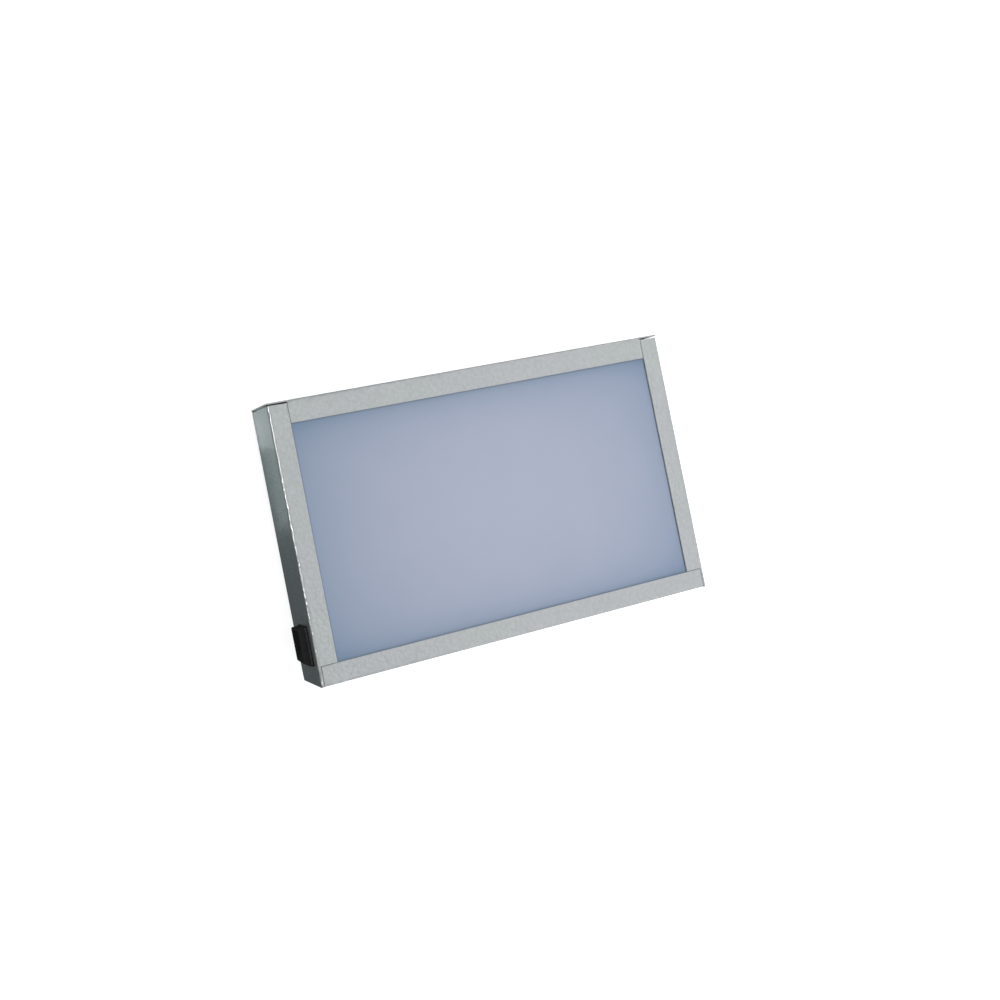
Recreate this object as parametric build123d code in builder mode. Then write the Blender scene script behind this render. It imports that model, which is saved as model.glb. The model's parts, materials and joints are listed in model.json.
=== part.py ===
from build123d import *
from math import cos, radians, sin, sqrt
import os

# Desktop light table for viewing film: a shallow sheet steel box with an opal window on top.
#
# Frame: X along the long side, +Y away from the user, +Z up. The origin is the centre of the
# box, at the plane that its four rubber feet rest on. Millimetres.
#
# The box is four folded profiles joined by corner angles and closed below by a flat cover. The
# cover carries what makes the light: a white reflector on standoffs with two tubes in their
# lampholders, and the ballast below it. A mains inlet is in the right wall and a double-pole
# rocker switch in the left wall.

# ---- box
BOX_X, BOX_Y = 350.0, 225.0  # outside of the four walls
BOX_TOP = 70.0  # front face of the frame, above the table
FOOT_H = 6.0  # the rubber feet
SHEET = 1.2  # steel sheet of the profiles and the cover
BEND_R = 2.5  # outside radius of the bends
STILE_W = 16.0  # left and right bars of the frame
FAR_RAIL_W, NEAR_RAIL_W = 18.5, 16.0  # far and near bars of the frame
REAR_FLANGE_W = 12.0  # the inward flanges that the cover is screwed to
SEAM = 0.45  # gap in a butt joint between two profiles
END_GAP = 1.3  # gap between the end of a side profile and the far wall
ANGLE_LEG, ANGLE_T = 11.0, 1.5  # the corner angles
ANGLE_LOW, ANGLE_HIGH = 12.0, 50.0
ANGLE_BEND_R = 3.0  # outside radius of an angle: it stands clear of the corner itself

HALF_X, HALF_Y = BOX_X / 2, BOX_Y / 2
INNER_X, INNER_Y = HALF_X - SHEET, HALF_Y - SHEET
COVER_TOP = FOOT_H + SHEET
FRAME_UNDER = BOX_TOP - SHEET
WINDOW_X = HALF_X - STILE_W
WINDOW_NEAR = -HALF_Y + NEAR_RAIL_W

# ---- fasteners
M3_R, M4_R = 1.5, 2.0
HOLE_CLEAR = 0.1  # a hole's radius over its screw's
PAN_M3 = (M3_R, 2.9, 1.8)  # radius of the thread, radius of the head, height of the head
PAN_M4 = (M4_R, 3.9, 2.4)
HOLE_MAKER = 10.0  # length of the cylinders that make holes in sheet

# ---- rear cover
COVER_INSET = 0.6
COVER_CORNER_R = 2.0
FLANGE_MID_X, FLANGE_MID_Y = 168.5, 106.0
COVER_SCREWS_NEAR = [(x, -FLANGE_MID_Y) for x in (-150.0, 0.0, 150.0)]
COVER_SCREWS_FAR = [(x, FLANGE_MID_Y) for x in (-150.0, 0.0, 150.0)]
COVER_SCREWS_SIDE = [(x, y) for x in (-FLANGE_MID_X, FLANGE_MID_X) for y in (-56.0, 56.0)]
FOOT_AT = [(x, y) for x in (-150.0, 150.0) for y in (-84.0, 84.0)]
STANDOFF_AT = [(x, y) for x in (-120.0, 120.0) for y in (-72.0, 72.0)]
BALLAST_SCREWS_AT = [(-87.0, 0.0), (87.0, 0.0)]
VENT_W, VENT_L, VENT_STEP, VENT_COUNT = 3.0, 26.0, 9.0, 9
VENT_Y = 46.0
FOOT_R_TOP, FOOT_R_BASE = 9.0, 8.0
FOOT_RECESS_R, FOOT_RECESS_H = 4.6, 3.4

# ---- window and reflector
ENGINE_X, ENGINE_Y = 162.3, 99.8  # half sizes of what passes between the rear flanges
DIFFUSER_T = 3.0
GASKET_T = 2.0
WHITE_SHEET = 0.8  # sheet of the reflector
DIFFUSER_UNDER = FRAME_UNDER - DIFFUSER_T
LIP_TOP = DIFFUSER_UNDER - GASKET_T
FLOOR_UNDER = 33.0  # underside of the reflector's floor
FLOOR_TOP = FLOOR_UNDER + WHITE_SHEET
FLOOR_X, FLOOR_Y = 157.0, 88.0  # half sizes inside
MOUTH_X, MOUTH_Y = 159.5, 96.6
STANDOFF_FLATS, STANDOFF_BORE = 7.0, 7.0

# ---- lamps
TUBE_Y, TUBE_Z = 48.0, 46.0  # each side of the middle, and above the table
TUBE_LENGTH = 288.3  # an 8 W T5 tube, face to face of its caps
CAP_R, CAP_LENGTH, CAP_SHEET = 8.0, 10.0, 0.25
GLASS_R, GLASS_T = 7.7, 0.7
PIN_R, PIN_LENGTH, PIN_PITCH = 1.18, 6.9, 4.75  # the G5 base
HOLDER_T, HOLDER_R = 10.6, 9.5  # along the tube, and the radius of its head
HOLDER_GAP = 0.4  # between the tube's cap and the holder
HOLDER_IN = TUBE_LENGTH / 2 + HOLDER_GAP
HOLDER_MID = HOLDER_IN + HOLDER_T / 2
HOLDER_FOOT_X, HOLDER_FOOT_Y, HOLDER_FOOT_DROP = 6.0, 13.0, 3.0
PIN_ENTRY = 2 * PIN_R + 0.8
ROTOR_R, ROTOR_SEAT_R = 6.0, 6.06
ROTOR_IN, ROTOR_LENGTH = HOLDER_IN + 0.4, 8.4
ROTOR_SEAT = 9.2  # depth of the seat
ROTOR_SLOT = 2 * PIN_R + 0.2

# ---- ballast
BALLAST_L, BALLAST_W, BALLAST_H = 160.0, 30.0, 20.0
BALLAST_EAR = 14.0
CASE_T = 0.8
BALLAST_FLOOR = COVER_TOP + CASE_T
BALLAST_TOP = COVER_TOP + BALLAST_H
BOARD_X, BOARD_Y = BALLAST_L / 2 - 2, 13.0  # half sizes
BOARD_UNDER, BOARD_T = BALLAST_FLOOR + 3.0, 1.6
BOARD_TOP = BOARD_UNDER + BOARD_T
WAY_PITCH, WAY_Z = 3.0, BOARD_TOP + 3.2
TERMINAL_L, TERMINAL_H = 11.0, 9.0
MAINS_WAYS, LAMP_WAYS = 3, 8

# ---- rocker switch
SWITCH_Y, SWITCH_Z = -80.5, 46.0
SWITCH_CUT_Y, SWITCH_CUT_Z = 30.0, 22.0  # the standard cut-out
BEZEL_Y, BEZEL_Z, BEZEL_T = 32.0, 28.0, 2.0
COLLAR_Y, COLLAR_Z, COLLAR_H = 30.4, 25.6, 7.2
COLLAR_END_H, COLLAR_SLOPE, COLLAR_NOSE = 3.2, 4.0, 0.8
BODY_DEPTH, BODY_FLOOR, BODY_CLEAR = 12.5, 1.1, 0.1
ROCKER_R, ROCKER_HALF_Z = 13.0, 9.4
ROCKER_TOP, ROCKER_DIP, KEEL_Y, KEEL_DROP = 4.5, 3.0, 4.0, 8.0
ROCKER_SIDE_GAP, ROCKER_END_GAP = 0.3, 0.35
SKIRT = radians(25)
TILT = radians(9)  # it leans this much each way
PIVOT_OUT = 1.0  # its axis stands this far outside the wall
PIVOT_R, PIVOT_BORE_R, PIVOT_STUB = 1.4, 1.45, 1.0
SWITCH_TAB_X = -168.4
SWITCH_TAB_YS = [SWITCH_Y + step for step in (-10.5, -3.5, 3.5, 10.5)]
TAB_W, TAB_T, TAB_L = 4.8, 0.8, 8.0
SLEEVE_W, SLEEVE_T, SLEEVE_L, SLEEVE_BACK = 6.4, 3.4, 13.0, 0.6

# ---- mains inlet
INLET_Z = 21.2
INLET_BODY_Y, INLET_BODY_Z, INLET_BODY_D = 27.0, 19.8, 25.0
INLET_CUT_Y, INLET_CUT_Z = 27.4, 20.2
INLET_FLANGE_Y, INLET_FLANGE_Z, INLET_FLANGE_T = 50.0, 22.5, 3.0
INLET_SCREW_Y = 20.0
SOCKET_Y, SOCKET_Z, SOCKET_D, SOCKET_CORNER = 24.4, 16.6, 18.5, 4.5
INLET_PINS = [(-7.0, -2.1), (7.0, -2.1), (0.0, 2.1)]  # live, neutral and earth from the middle
BLADE_Y, BLADE_Z, BLADE_TIP = 2.0, 4.0, 1.5
INLET_OUT = HALF_X + INLET_FLANGE_T
INLET_BACK = HALF_X - INLET_BODY_D

# ---- earth stud and wiring
EARTH_X, EARTH_Y, EARTH_H = 122.0, 34.0, 12.0
TAG_R, TAG_T, TAG_REACH, TAG_BARREL_R, TAG_BARREL_L = 4.0, 0.8, 6.0, 1.9, 5.0
UPPER_TAG = COVER_TOP + TAG_T + 0.05
WIRE_R = 1.0
LANE_Z = COVER_TOP + 2.0
LIVE_LANE, NEUTRAL_LANE, EARTH_LANE = -29.0, -26.0, 20.0
LEAD_Z = 30.0  # the lamp leads that cross above the ballast
CLIP_XS = (-60.0, 0.0, 60.0)


def keep(name, piece):
    """Labels a finished piece and writes its file."""
    piece.part.label = name
    export_step(piece.part, f"parts/{name}.step")


def block(low, high, mode=Mode.SUBTRACT):
    """A box from one corner to the other, in either order, cut from the part in hand."""
    size = [abs(b - a) for a, b in zip(low, high)]
    middle = tuple((a + b) / 2 for a, b in zip(low, high))
    with Locations(middle):
        Box(*size, mode=mode)


def drill(places, z, radius):
    """Vertical holes through sheet."""
    with Locations([(x, y, z) for x, y in places]):
        Cylinder(radius, HOLE_MAKER, mode=Mode.SUBTRACT)


def copies(shape, places):
    """The same shape at several places, as one piece of separate solids."""
    with BuildPart() as group:
        for place in places:
            add(shape.moved(place))
    return group


def together(*shapes):
    """Several shapes as one piece of separate solids."""
    with BuildPart() as group:
        for shape in shapes:
            add(shape)
    return group


def above(places, z):
    """Places on the cover, as locations at one height."""
    return [Location((x, y, z)) for x, y in places]


def upside_down(places, z):
    """The same, with what is placed there turned over."""
    return [Location((x, y, z), (180, 0, 0)) for x, y in places]


def pan_screw(size, length):
    """A cross-recessed pan-head screw: its head is below z = 0 and its shank above."""
    shank_r, head_r, head_h = size
    shoulder = -0.55 * head_h
    with BuildPart() as screw:
        with BuildSketch(Plane.XZ):
            with BuildLine():
                Polyline((0, -head_h), (0, length), (shank_r, length), (shank_r, 0), (head_r, 0))
                Line((head_r, 0), (head_r, shoulder))
                ThreePointArc((head_r, shoulder), (0.72 * head_r, -0.89 * head_h), (0, -head_h))
            make_face()
        revolve(axis=Axis.Z)
        for turn in (0, 90):
            with Locations(Location((0, 0, -head_h), (0, 0, turn))):
                Box(1.15 * head_r, 0.28 * head_r, head_h, mode=Mode.SUBTRACT)
    return screw.part


def hex_nut(flats, bore_r, height):
    """A chamfered hexagon nut standing on z = 0."""
    corner = flats / sqrt(3)
    relief = 0.15 * height
    with BuildPart() as nut:
        with BuildSketch():
            RegularPolygon(flats / 2, 6, major_radius=False)
            Circle(bore_r, mode=Mode.SUBTRACT)
        extrude(amount=height)
        with BuildSketch(Plane.XZ):
            with BuildLine():
                Polyline(
                    (0, 0),
                    (flats / 2, 0),
                    (corner, relief),
                    (corner, height - relief),
                    (flats / 2, height),
                    (0, height),
                    close=True,
                )
            make_face()
        revolve(axis=Axis.Z, mode=Mode.INTERSECT)
    return nut.part


# ======================================================================================
# Folded profiles
# ======================================================================================
def fold(plane, front_width, length):
    """A C of sheet: the plane's local x runs inward from the wall and its local y is up."""
    with BuildPart() as folded:
        with BuildSketch(plane):
            with BuildLine():
                outer = FilletPolyline(
                    (front_width, BOX_TOP),
                    (0, BOX_TOP),
                    (0, COVER_TOP),
                    (REAR_FLANGE_W, COVER_TOP),
                    radius=BEND_R,
                )
                inner = FilletPolyline(
                    (front_width, FRAME_UNDER),
                    (SHEET, FRAME_UNDER),
                    (SHEET, COVER_TOP + SHEET),
                    (REAR_FLANGE_W, COVER_TOP + SHEET),
                    radius=BEND_R - SHEET,
                )
                Line(outer @ 0, inner @ 0)
                Line(outer @ 1, inner @ 1)
            make_face()
        extrude(amount=length)
    return folded.part


def side_profile(side):
    """The left (-1) or right (1) wall with its stile."""
    far_end = INNER_Y - END_GAP
    stile_end = HALF_X - STILE_W - 1
    flange_end = HALF_X - REAR_FLANGE_W - 1
    start = far_end if side < 0 else -HALF_Y
    plane = Plane(origin=(side * HALF_X, start, 0), x_dir=(-side, 0, 0), z_dir=(0, side, 0))
    with BuildPart() as profile:
        add(fold(plane, STILE_W, far_end + HALF_Y))
        # the stile stops at the near rail, and only its bend runs on to the corner
        block(
            (side * (HALF_X - BEND_R), -HALF_Y - 1, BOX_TOP - 2 * BEND_R),
            (side * stile_end, WINDOW_NEAR + SEAM, BOX_TOP + 1),
        )
        block(
            (side * INNER_X, -HALF_Y - 1, FOOT_H),
            (side * flange_end, -INNER_Y + SEAM, ANGLE_LOW),
        )
        drill(
            [place for place in COVER_SCREWS_SIDE if place[0] * side > 0],
            COVER_TOP,
            M3_R + HOLE_CLEAR,
        )
    return profile.part


with BuildPart() as left_profile:
    add(side_profile(-1))
    with Locations((-HALF_X, SWITCH_Y, SWITCH_Z)):
        Box(4 * SHEET, SWITCH_CUT_Y, SWITCH_CUT_Z, mode=Mode.SUBTRACT)
keep("left_side_profile", left_profile)

with BuildPart() as right_profile:
    add(side_profile(1))
    with Locations((HALF_X, 0, INLET_Z)):
        Box(4 * SHEET, INLET_CUT_Y, INLET_CUT_Z, mode=Mode.SUBTRACT)
    with Locations([(HALF_X, y, INLET_Z) for y in (-INLET_SCREW_Y, INLET_SCREW_Y)]):
        Cylinder(M3_R + HOLE_CLEAR, HOLE_MAKER, rotation=(0, 90, 0), mode=Mode.SUBTRACT)
keep("right_side_profile", right_profile)

with BuildPart() as near_profile:
    wall_half = INNER_X - SEAM
    near_plane = Plane(origin=(-wall_half, -HALF_Y, 0), x_dir=(0, 1, 0), z_dir=(1, 0, 0))
    add(fold(near_plane, NEAR_RAIL_W, 2 * wall_half))
    for side in (-1, 1):
        block(
            (side * (HALF_X - BEND_R - SEAM), -HALF_Y - 1, BOX_TOP - BEND_R),
            (side * HALF_X, WINDOW_NEAR + 1, BOX_TOP + 1),
        )
        block(
            (side * (HALF_X - REAR_FLANGE_W - SEAM), -INNER_Y, FOOT_H),
            (side * HALF_X, WINDOW_NEAR + 1, ANGLE_LOW),
        )
    drill(COVER_SCREWS_NEAR, COVER_TOP, M3_R + HOLE_CLEAR)
keep("near_profile", near_profile)

with BuildPart() as far_profile:
    rail_half = WINDOW_X - SEAM
    far_plane = Plane(origin=(rail_half, HALF_Y, 0), x_dir=(0, -1, 0), z_dir=(-1, 0, 0))
    add(fold(far_plane, FAR_RAIL_W, 2 * rail_half))
    # beyond the rail the wall runs flat to the corners and covers the side profiles' ends
    for side in (-1, 1):
        block(
            (side * rail_half, INNER_Y, COVER_TOP),
            (side * HALF_X, HALF_Y, BOX_TOP),
            mode=Mode.ADD,
        )
    drill(COVER_SCREWS_FAR, COVER_TOP, M3_R + HOLE_CLEAR)
keep("far_profile", far_profile)

for side, side_name in ((-1, "left"), (1, "right")):
    for end, end_name in ((-1, "near"), (1, "far")):
        corner_x, corner_y = side * INNER_X, end * INNER_Y
        with BuildPart() as angle:
            with BuildSketch(Plane.XY.offset(ANGLE_LOW)):
                with BuildLine():
                    outer = FilletPolyline(
                        (corner_x - side * ANGLE_LEG, corner_y),
                        (corner_x, corner_y),
                        (corner_x, corner_y - end * ANGLE_LEG),
                        radius=ANGLE_BEND_R,
                    )
                    inner = FilletPolyline(
                        (corner_x - side * ANGLE_LEG, corner_y - end * ANGLE_T),
                        (corner_x - side * ANGLE_T, corner_y - end * ANGLE_T),
                        (corner_x - side * ANGLE_T, corner_y - end * ANGLE_LEG),
                        radius=ANGLE_BEND_R - ANGLE_T,
                    )
                    Line(outer @ 0, inner @ 0)
                    Line(outer @ 1, inner @ 1)
                make_face()
            extrude(amount=ANGLE_HIGH - ANGLE_LOW)
        keep(f"corner_angle_{end_name}_{side_name}", angle)

# ======================================================================================
# Rear cover, feet and their fasteners
# ======================================================================================
COVER_SCREWS_AT = COVER_SCREWS_NEAR + COVER_SCREWS_FAR + COVER_SCREWS_SIDE

with BuildPart() as rear_cover:
    with BuildSketch(Plane.XY.offset(FOOT_H)):
        RectangleRounded(BOX_X - 2 * COVER_INSET, BOX_Y - 2 * COVER_INSET, COVER_CORNER_R)
        with Locations((0, -VENT_Y), (0, VENT_Y)):
            with GridLocations(VENT_STEP, 0, VENT_COUNT, 1):
                SlotOverall(VENT_L, VENT_W, rotation=90, mode=Mode.SUBTRACT)
    extrude(amount=SHEET)
    drill(COVER_SCREWS_AT + STANDOFF_AT + BALLAST_SCREWS_AT, COVER_TOP, M3_R + HOLE_CLEAR)
    drill(FOOT_AT, COVER_TOP, M4_R + HOLE_CLEAR)
keep("rear_cover", rear_cover)
keep("cover_screws", copies(pan_screw(PAN_M3, 5.0), above(COVER_SCREWS_AT, FOOT_H)))

for x, y in FOOT_AT:
    with BuildPart() as foot:
        with BuildSketch(Plane(origin=(x, y, 0), x_dir=(1, 0, 0), z_dir=(0, -1, 0))):
            with BuildLine():
                Polyline(
                    (FOOT_RECESS_R, 0),
                    (FOOT_R_BASE, 0),
                    (FOOT_R_TOP, FOOT_H),
                    (M4_R + HOLE_CLEAR, FOOT_H),
                    (M4_R + HOLE_CLEAR, FOOT_RECESS_H),
                    (FOOT_RECESS_R, FOOT_RECESS_H),
                    close=True,
                )
            make_face()
        revolve(axis=Axis((x, y, 0), (0, 0, 1)))
        base_rims = foot.edges().filter_by(GeomType.CIRCLE).group_by(Axis.Z)[0]
        fillet(base_rims.sort_by(SortBy.LENGTH)[-1], 0.8)
    keep(f"foot_{'near' if y < 0 else 'far'}_{'left' if x < 0 else 'right'}", foot)

keep("foot_screws", copies(pan_screw(PAN_M4, 8.6), above(FOOT_AT, FOOT_RECESS_H)))
keep("foot_nuts", copies(hex_nut(7.0, M4_R + HOLE_CLEAR, 3.2), above(FOOT_AT, COVER_TOP)))

# ======================================================================================
# Window: diffuser and its gasket
# ======================================================================================
with BuildPart() as diffuser:
    with BuildSketch(Plane.XY.offset(DIFFUSER_UNDER)):
        Rectangle(2 * ENGINE_X, 2 * ENGINE_Y)
    extrude(amount=DIFFUSER_T)
    chamfer(diffuser.edges().group_by(Axis.Z)[0], 0.3)
keep("diffuser", diffuser)

with BuildPart() as gasket:
    with BuildSketch(Plane.XY.offset(LIP_TOP)):
        Rectangle(2 * ENGINE_X, 2 * ENGINE_Y)
        Rectangle(2 * MOUTH_X, 2 * MOUTH_Y, mode=Mode.SUBTRACT)
    extrude(amount=GASKET_T)
keep("diffuser_gasket", gasket)


# ======================================================================================
# Reflector on its standoffs
# ======================================================================================
def funnel(outset, low_z, high_z):
    """The reflector's trough, that much larger all round, from one height to the other."""
    with BuildPart() as trough:
        with BuildSketch(Plane.XY.offset(low_z)):
            Rectangle(2 * (FLOOR_X + outset), 2 * (FLOOR_Y + outset))
        with BuildSketch(Plane.XY.offset(high_z)):
            Rectangle(2 * (MOUTH_X + outset), 2 * (MOUTH_Y + outset))
        loft()
    return trough.part


with BuildPart() as reflector:
    add(funnel(WHITE_SHEET, FLOOR_UNDER, LIP_TOP - WHITE_SHEET))
    with BuildSketch(Plane.XY.offset(LIP_TOP - WHITE_SHEET)):
        Rectangle(2 * ENGINE_X, 2 * ENGINE_Y)
    extrude(amount=WHITE_SHEET)
    add(funnel(0, FLOOR_TOP, LIP_TOP), mode=Mode.SUBTRACT)
    with Locations([(s * HOLDER_MID, y, FLOOR_TOP) for s in (-1, 1) for y in (-TUBE_Y, TUBE_Y)]):
        Box(HOLDER_FOOT_X + 0.4, HOLDER_FOOT_Y + 0.4, 4 * WHITE_SHEET, mode=Mode.SUBTRACT)
    drill(STANDOFF_AT, FLOOR_TOP, M3_R + HOLE_CLEAR)
keep("reflector", reflector)

with BuildPart() as standoffs:
    with BuildSketch(Plane.XY.offset(COVER_TOP)):
        with Locations(STANDOFF_AT):
            RegularPolygon(STANDOFF_FLATS / 2, 6, major_radius=False)
    extrude(amount=FLOOR_UNDER - COVER_TOP)
    for end_z in (COVER_TOP + STANDOFF_BORE / 2, FLOOR_UNDER - STANDOFF_BORE / 2):
        with Locations([(x, y, end_z) for x, y in STANDOFF_AT]):
            Cylinder(M3_R + HOLE_CLEAR, STANDOFF_BORE, mode=Mode.SUBTRACT)
keep("reflector_standoffs", standoffs)
keep("standoff_screws", copies(pan_screw(PAN_M3, 6.0), above(STANDOFF_AT, FOOT_H)))
keep("reflector_screws", copies(pan_screw(PAN_M3, 6.0), upside_down(STANDOFF_AT, FLOOR_TOP)))


# ======================================================================================
# Lamps and lampholders
# ======================================================================================
def across(x, y, side):
    """The plane across a tube's axis at x, facing outward from the box's middle."""
    return Plane(origin=(x, y, TUBE_Z), x_dir=(0, side, 0), z_dir=(side, 0, 0))


for y, y_name in ((-TUBE_Y, "near"), (TUBE_Y, "far")):
    for side, side_name in ((-1, "left"), (1, "right")):
        with BuildPart() as holder:
            drop = TUBE_Z - FLOOR_TOP
            with BuildSketch(across(side * HOLDER_IN, y, side)):
                Circle(HOLDER_R)
                with Locations((0, -drop / 2)):
                    Rectangle(2 * HOLDER_R, drop)
            extrude(amount=HOLDER_T)
            chamfer(holder.faces().sort_by(Axis.X)[0 if side < 0 else -1].edges(), 0.8)
            with Locations((side * HOLDER_MID, y, FLOOR_TOP - HOLDER_FOOT_DROP / 2)):
                Box(HOLDER_FOOT_X, HOLDER_FOOT_Y, HOLDER_FOOT_DROP)
            # the seat that the rotor turns in, and the slot that the pins go down
            with BuildSketch(across(side * HOLDER_IN, y, side)):
                Circle(ROTOR_SEAT_R)
                with Locations((0, HOLDER_R / 2)):
                    Rectangle(PIN_ENTRY, HOLDER_R + 1)
            extrude(amount=ROTOR_SEAT, mode=Mode.SUBTRACT)
        keep(f"lampholder_{y_name}_{side_name}", holder)

    with BuildPart() as glass:
        glass_half = TUBE_LENGTH / 2 - 1
        with BuildSketch(across(-glass_half, y, 1)):
            Circle(GLASS_R)
            Circle(GLASS_R - GLASS_T, mode=Mode.SUBTRACT)
        extrude(amount=2 * glass_half)
    keep(f"lamp_tube_{y_name}", glass)

    with BuildPart() as caps:
        for side in (-1, 1):
            with BuildSketch(across(side * TUBE_LENGTH / 2, y, -side)):
                Circle(CAP_R)
            extrude(amount=CAP_LENGTH)
            fillet(caps.edges().group_by(Axis.X)[0 if side < 0 else -1], 0.7)
            with BuildSketch(across(side * (TUBE_LENGTH / 2 - CAP_SHEET), y, -side)):
                Circle(CAP_R - CAP_SHEET)
            extrude(amount=CAP_LENGTH, mode=Mode.SUBTRACT)
    keep(f"lamp_caps_{y_name}", caps)

    # the pins lie side by side when the lamp is turned home
    with BuildPart() as pins:
        for side in (-1, 1):
            with BuildSketch(across(side * TUBE_LENGTH / 2, y, side)):
                with Locations((-PIN_PITCH / 2, 0), (PIN_PITCH / 2, 0)):
                    Circle(PIN_R)
            extrude(amount=PIN_LENGTH)
    keep(f"lamp_pins_{y_name}", pins)

    with BuildPart() as rotors:
        for side in (-1, 1):
            with BuildSketch(across(side * ROTOR_IN, y, side)):
                Circle(ROTOR_R)
            extrude(amount=ROTOR_LENGTH)
            with BuildSketch(across(side * ROTOR_IN, y, side)):
                Rectangle(2 * ROTOR_R, ROTOR_SLOT)
            extrude(amount=PIN_LENGTH, mode=Mode.SUBTRACT)
    keep(f"lamp_rotors_{y_name}", rotors)

# ======================================================================================
# Ballast
# ======================================================================================
with BuildPart() as ballast_base:
    with BuildSketch(Plane.XY.offset(COVER_TOP)):
        RectangleRounded(BALLAST_L + 2 * BALLAST_EAR, BALLAST_W, 3)
    extrude(amount=CASE_T)
    drill(BALLAST_SCREWS_AT, COVER_TOP, M3_R + HOLE_CLEAR)
keep("ballast_base", ballast_base)
keep("ballast_screws", copies(pan_screw(PAN_M3, 2.6), upside_down(BALLAST_SCREWS_AT, BALLAST_FLOOR)))

with BuildPart() as ballast_cover:
    case_h = BALLAST_TOP - BALLAST_FLOOR
    with BuildSketch(Plane.XY.offset(BALLAST_FLOOR)):
        Rectangle(BALLAST_L, BALLAST_W)
    extrude(amount=case_h)
    fillet(ballast_cover.edges().filter_by(Axis.X).group_by(Axis.Z)[-1], 1.2)
    with BuildSketch(Plane.XY.offset(BALLAST_FLOOR)):
        Rectangle(BALLAST_L, BALLAST_W - 2 * CASE_T)
    extrude(amount=case_h - CASE_T, mode=Mode.SUBTRACT)
keep("ballast_cover", ballast_cover)

with BuildPart() as board:
    with BuildSketch(Plane.XY.offset(BOARD_UNDER)):
        Rectangle(2 * BOARD_X, 2 * BOARD_Y)
    extrude(amount=BOARD_T)
    with BuildSketch(Plane.XY.offset(BALLAST_FLOOR)):
        with Locations((-60, 0), (60, 0)):
            Circle(2.5)
    extrude(amount=BOARD_UNDER - BALLAST_FLOOR)
keep("ballast_board", board)

with BuildPart() as components:
    # chokes, capacitors and transistors: place along the board and across it, size
    with BuildSketch(Plane.XY.offset(BOARD_TOP)):
        with Locations((-22, 3), (22, 3)):
            Rectangle(16, 15)
    extrude(amount=10)
    with BuildSketch(Plane.XY.offset(BOARD_TOP)):
        with Locations((-48, -4), (46, -4)):
            Circle(5)
    extrude(amount=11)
    with BuildSketch(Plane.XY.offset(BOARD_TOP)):
        with Locations((-6, 8), (6, 8)):
            Rectangle(5, 2.4)
    extrude(amount=8)
keep("ballast_components", components)


def push_in_block(side, ways):
    """A row of push-in terminals that opens towards one end of the ballast."""
    outer = side * BOARD_X
    with BuildPart() as terminal:
        block(
            (outer, -(ways * WAY_PITCH + 1) / 2, BOARD_TOP),
            (outer - side * TERMINAL_L, (ways * WAY_PITCH + 1) / 2, BOARD_TOP + TERMINAL_H),
            mode=Mode.ADD,
        )
        with BuildSketch(Plane(origin=(outer, 0, WAY_Z), x_dir=(0, 1, 0), z_dir=(-side, 0, 0))):
            with GridLocations(WAY_PITCH, 0, ways, 1):
                Circle(WIRE_R + 0.15)
        extrude(amount=5, mode=Mode.SUBTRACT)
    return terminal


keep("ballast_mains_terminals", push_in_block(-1, MAINS_WAYS))
keep("ballast_lamp_terminals", push_in_block(1, LAMP_WAYS))

# ======================================================================================
# Rocker switch: outward is -X, from the left wall's outer face
# ======================================================================================
WALL_X = -HALF_X
PIVOT_X = WALL_X - PIVOT_OUT
WELL_Y, WELL_Z = ROCKER_R + ROCKER_END_GAP, ROCKER_HALF_Z + ROCKER_SIDE_GAP

with BuildPart() as switch_housing:
    with BuildSketch(Plane(origin=(WALL_X, SWITCH_Y, SWITCH_Z), x_dir=(0, 1, 0), z_dir=(-1, 0, 0))):
        RectangleRounded(BEZEL_Y, BEZEL_Z, 2)
    extrude(amount=BEZEL_T)
    chamfer(switch_housing.faces().sort_by(Axis.X)[0].edges(), 0.7)
    # the collar: it guards the rocker, and slopes down at its near end for a finger
    collar_low = SWITCH_Z - COLLAR_Z / 2
    with BuildSketch(Plane(origin=(WALL_X, SWITCH_Y, collar_low), x_dir=(0, 1, 0), z_dir=(0, 0, 1))):
        with BuildLine():
            half = COLLAR_Y / 2
            Polyline(
                (-half, 0),
                (-half, COLLAR_END_H),
                (-half + COLLAR_SLOPE, COLLAR_H),
                (half - COLLAR_NOSE, COLLAR_H),
                (half, COLLAR_H - COLLAR_NOSE),
                (half, 0),
                close=True,
            )
        make_face()
    extrude(amount=COLLAR_Z)
    body_y, body_z = SWITCH_CUT_Y / 2 - BODY_CLEAR, SWITCH_CUT_Z / 2 - BODY_CLEAR
    block(
        (WALL_X, SWITCH_Y - body_y, SWITCH_Z - body_z),
        (WALL_X + BODY_DEPTH, SWITCH_Y + body_y, SWITCH_Z + body_z),
        mode=Mode.ADD,
    )
    # the well that the rocker leans in, and the bore for its pivot
    block(
        (WALL_X - 2 * COLLAR_H, SWITCH_Y - WELL_Y, SWITCH_Z - WELL_Z),
        (WALL_X + BODY_DEPTH - BODY_FLOOR, SWITCH_Y + WELL_Y, SWITCH_Z + WELL_Z),
    )
    with Locations((PIVOT_X, SWITCH_Y, SWITCH_Z)):
        Cylinder(PIVOT_BORE_R, 2 * (ROCKER_HALF_Z + PIVOT_STUB + 0.2), mode=Mode.SUBTRACT)
keep("switch_housing", switch_housing)

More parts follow.
